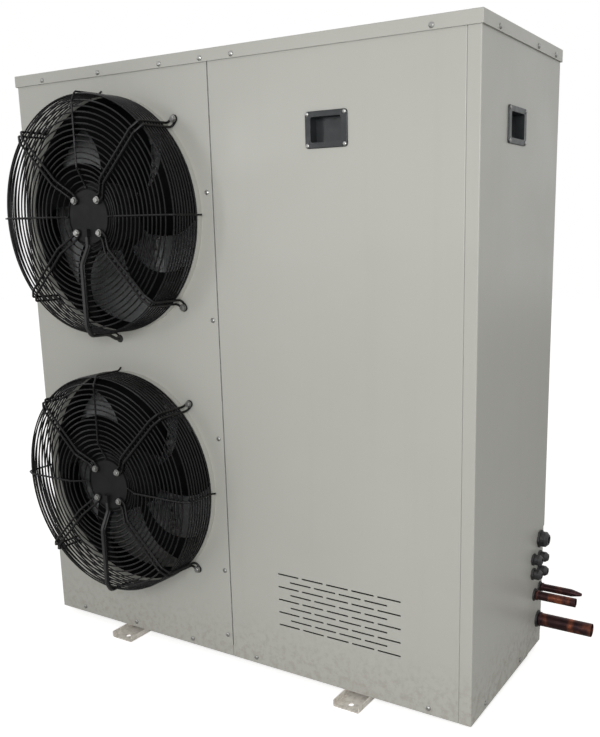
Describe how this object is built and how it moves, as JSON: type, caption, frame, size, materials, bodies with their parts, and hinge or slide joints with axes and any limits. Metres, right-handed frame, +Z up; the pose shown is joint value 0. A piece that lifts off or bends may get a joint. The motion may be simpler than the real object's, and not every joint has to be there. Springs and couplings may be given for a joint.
{
  "type": "refrigeration condensing unit",
  "caption": "Upright outdoor refrigeration condensing unit: sheet-metal cabinet with fans behind round wire guards, recessed carrying handles, pipe stubs and cable glands.",
  "frame": {"origin": "on the floor, in the middle of the four foot-bolt holes", "axes": "+Z up, -Y out of the fan side, +X to the right as seen from the fan side"},
  "size_m": [1.219, 0.5406, 1.26],
  "materials": {
    "casing": "satin powder coat",
    "galvanised": "galvanised sheet",
    "feet": "satin powder coat",
    "guard_coat": "black powder coat",
    "fan_plastic": "matte black",
    "ring_coat": "black",
    "motor_cast": "black cast housing",
    "laminations": "stacked steel",
    "bearing_steel": "ground",
    "shaft_steel": "ground",
    "zinc": "zinc plated",
    "cable_black": "soft sheath",
    "gland_plastic": "moulded",
    "handle_plastic": "moulded",
    "black_rubber": "matte",
    "copper": "tarnished copper",
    "fins": "thin fins",
    "shell_paint": "gloss black",
    "vessel_paint": "satin black",
    "filter_paint": "satin",
    "brass": "turned",
    "control_plastic": "moulded",
    "contactor_plastic": "moulded"
  },
  "bodies": {
    "cabinet": {"base_pan": "casing", "cable_glands": "gland_plastic", "cable_grommets": "black_rubber", "casing_screws": "zinc", "charge_pipe": "copper", "coil_end_plates": "galvanised", "coil_headers": "copper", "compressor": "shell_paint", "compressor_bolts": "zinc", "compressor_terminals": "gland_plastic", "condensate_pipe": "copper", "condenser_fins": "fins", "contactors": "contactor_plastic", "corner_post": "casing", "discharge_pipe": "copper", "electric_box": "galvanised", "fan_guard_lower": "guard_coat", "fan_guard_upper": "guard_coat", "fan_panel": "casing", "fan_ring_lower": "ring_coat", "fan_ring_upper": "ring_coat", "filter_drier": "filter_paint", "foot_rail_left": "feet", "foot_rail_right": "feet", "front_handle": "handle_plastic", "guard_screws": "zinc", "handle_screws": "zinc", "liquid_pipe": "copper", "liquid_receiver": "vessel_paint", "motor_bearings": "bearing_steel", "motor_bolts": "zinc", "motor_cable_lower": "cable_black", "motor_cable_upper": "cable_black", "motor_flange_lower": "motor_cast", "motor_flange_upper": "motor_cast", "motor_stator_lower": "laminations", "motor_stator_upper": "laminations", "partition_plate": "galvanised", "pipe_grommets": "black_rubber", "pipe_plate": "casing", "pressure_switch": "brass", "rear_panel": "casing", "receiver_pipe": "copper", "return_bends": "copper", "return_gas_pipe": "copper", "roof_cover": "casing", "rubber_feet": "black_rubber", "service_panel": "casing", "side_handle": "handle_plastic", "side_panel": "casing", "sight_glass": "brass", "suction_accumulator": "vessel_paint", "suction_pipe": "copper", "terminal_block": "control_plastic"},
    "fan_upper": {"motor_rotor_upper": "motor_cast", "motor_shaft_upper": "shaft_steel", "fan_blades_upper": "fan_plastic"},
    "fan_lower": {"motor_rotor_lower": "motor_cast", "motor_shaft_lower": "shaft_steel", "fan_blades_lower": "fan_plastic"}
  },
  "joints": [
    {"name": "fan_upper_spin", "type": "hinge", "parent": "cabinet", "child": "fan_upper", "pos_m": [-0.2815, -0.2, 0.955], "axis": [0, 1, 0], "continuous": true},
    {"name": "fan_lower_spin", "type": "hinge", "parent": "cabinet", "child": "fan_lower", "pos_m": [-0.2815, -0.2, 0.384], "axis": [0, 1, 0], "continuous": true}
  ]
}
